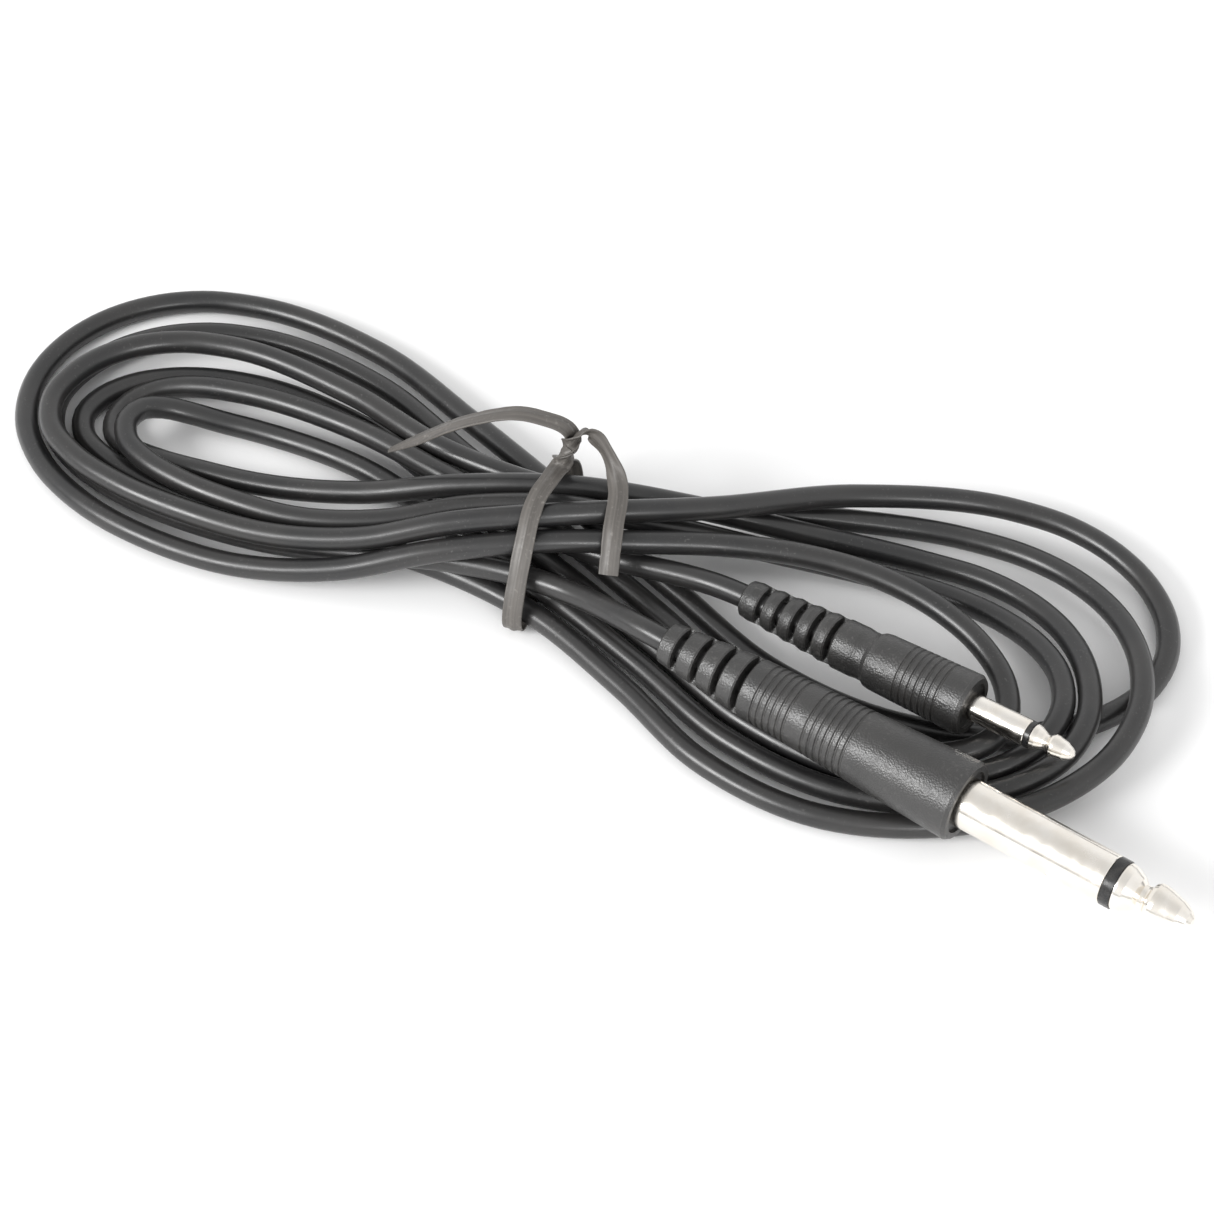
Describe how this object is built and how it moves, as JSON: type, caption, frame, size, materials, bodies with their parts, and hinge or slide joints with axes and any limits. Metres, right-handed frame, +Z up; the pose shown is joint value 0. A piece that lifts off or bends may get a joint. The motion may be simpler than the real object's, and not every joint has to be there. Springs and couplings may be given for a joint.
{
  "type": "instrument cable",
  "caption": "Thin instrument cable with a large and a small moulded mono plug, wound in flat loops and pinched by a twist tie.",
  "frame": {"origin": "on the resting plane, at the middle of the tied bundle, in the plane of the strands' crossing at the tie", "axes": "+X along the coil towards the plug end, +Z up from the resting plane, +Y towards the small plug's side"},
  "size_m": [0.1702, 0.0774, 0.0216],
  "materials": {
    "jacket_pvc": "satin",
    "moulding_black": "fine matte texture",
    "nickel": "bright nickel plate",
    "insulator_black": "gloss",
    "copper": "bare copper strand",
    "core_white": "plain",
    "tie_pvc": "satin",
    "tie_steel": "plain wire",
    "washer_fibre": "plain",
    "inner_pe": "plain",
    "solder": "satin"
  },
  "bodies": {
    "coil": {"cable_jacket": "jacket_pvc", "cable_shield": "copper", "core_insulation": "core_white", "core_conductor": "copper", "tie_ribbon": "tie_pvc", "tie_wire": "tie_steel", "large_rib_1": "moulding_black", "small_rib_1": "moulding_black"},
    "large_rib_2": {"large_rib_2": "moulding_black"},
    "large_rib_3": {"large_rib_3": "moulding_black"},
    "large_rib_4": {"large_rib_4": "moulding_black"},
    "large_plug": {"large_handle": "moulding_black", "large_sleeve": "nickel", "large_insulator": "insulator_black", "large_tip": "nickel", "large_rear_washer": "washer_fibre", "large_tip_lug": "nickel", "large_ground_lug": "nickel", "large_inner_mould": "inner_pe", "large_tip_solder": "solder", "large_ground_solder": "solder", "large_lead_jacket": "jacket_pvc", "large_lead_shield": "copper", "large_lead_core": "core_white", "large_lead_wire": "copper"},
    "small_rib_2": {"small_rib_2": "moulding_black"},
    "small_rib_3": {"small_rib_3": "moulding_black"},
    "small_rib_4": {"small_rib_4": "moulding_black"},
    "small_rib_5": {"small_rib_5": "moulding_black"},
    "small_plug": {"small_handle": "moulding_black", "small_sleeve": "nickel", "small_insulator": "insulator_black", "small_tip": "nickel", "small_rear_washer": "washer_fibre", "small_tip_lug": "nickel", "small_ground_lug": "nickel", "small_inner_mould": "inner_pe", "small_tip_solder": "solder", "small_ground_solder": "solder", "small_lead_jacket": "jacket_pvc", "small_lead_shield": "copper", "small_lead_core": "core_white", "small_lead_wire": "copper"},
    "tail_left": {"tie_tail_left": "tie_pvc", "tie_wire_left": "tie_steel"},
    "tail_right": {"tie_tail_right": "tie_pvc", "tie_wire_right": "tie_steel"}
  },
  "joints": [
    {"name": "large_flex_1", "type": "hinge", "parent": "coil", "child": "large_rib_2", "pos_m": [0.02227, -0.01894, 0.00971], "axis": [-0.2634, -0.754, -0.6017], "range_deg": [0, 9], "deforming": ["large_lead_jacket", "large_lead_shield", "large_lead_core", "large_lead_wire"]},
    {"name": "large_flex_2", "type": "hinge", "parent": "large_rib_2", "child": "large_rib_3", "pos_m": [0.0253, -0.01996, 0.00966], "axis": [-0.2634, -0.754, -0.6017], "range_deg": [0, 9]},
    {"name": "large_flex_3", "type": "hinge", "parent": "large_rib_3", "child": "large_rib_4", "pos_m": [0.02833, -0.02097, 0.0096], "axis": [-0.2634, -0.754, -0.6017], "range_deg": [0, 9]},
    {"name": "large_flex_4", "type": "hinge", "parent": "large_rib_4", "child": "large_plug", "pos_m": [0.03137, -0.02199, 0.00954], "axis": [-0.2634, -0.754, -0.6017], "range_deg": [0, 9]},
    {"name": "small_flex_1", "type": "hinge", "parent": "coil", "child": "small_rib_2", "pos_m": [0.02957, -0.00677, 0.00754], "axis": [-0.2348, -0.7636, -0.6014], "range_deg": [0, 9], "deforming": ["small_lead_jacket", "small_lead_shield", "small_lead_core", "small_lead_wire"]},
    {"name": "small_flex_2", "type": "hinge", "parent": "small_rib_2", "child": "small_rib_3", "pos_m": [0.03208, -0.00761, 0.00764], "axis": [-0.2348, -0.7636, -0.6014], "range_deg": [0, 9]},
    {"name": "small_flex_3", "type": "hinge", "parent": "small_rib_3", "child": "small_rib_4", "pos_m": [0.03459, -0.00846, 0.00773], "axis": [-0.2348, -0.7636, -0.6014], "range_deg": [0, 9]},
    {"name": "small_flex_4", "type": "hinge", "parent": "small_rib_4", "child": "small_rib_5", "pos_m": [0.0371, -0.0093, 0.00782], "axis": [-0.2348, -0.7636, -0.6014], "range_deg": [0, 9]},
    {"name": "small_flex_5", "type": "hinge", "parent": "small_rib_5", "child": "small_plug", "pos_m": [0.03961, -0.01014, 0.00792], "axis": [-0.2348, -0.7636, -0.6014], "range_deg": [0, 9]},
    {"name": "left_tail_bend", "type": "hinge", "parent": "coil", "child": "tail_left", "pos_m": [0.00039, 0.00509, 0.02022], "axis": [0, 1, 0], "range_deg": [0, 35]},
    {"name": "right_tail_bend", "type": "hinge", "parent": "coil", "child": "tail_right", "pos_m": [0.00139, 0.00509, 0.02022], "axis": [0, -1, 0], "range_deg": [0, 35]}
  ],
  "couplings": [
    {"joint": "large_flex_2", "follows": "large_flex_1", "ratio": 1},
    {"joint": "large_flex_3", "follows": "large_flex_1", "ratio": 1},
    {"joint": "large_flex_4", "follows": "large_flex_1", "ratio": 1},
    {"joint": "small_flex_2", "follows": "small_flex_1", "ratio": 1},
    {"joint": "small_flex_3", "follows": "small_flex_1", "ratio": 1},
    {"joint": "small_flex_4", "follows": "small_flex_1", "ratio": 1},
    {"joint": "small_flex_5", "follows": "small_flex_1", "ratio": 1}
  ]
}
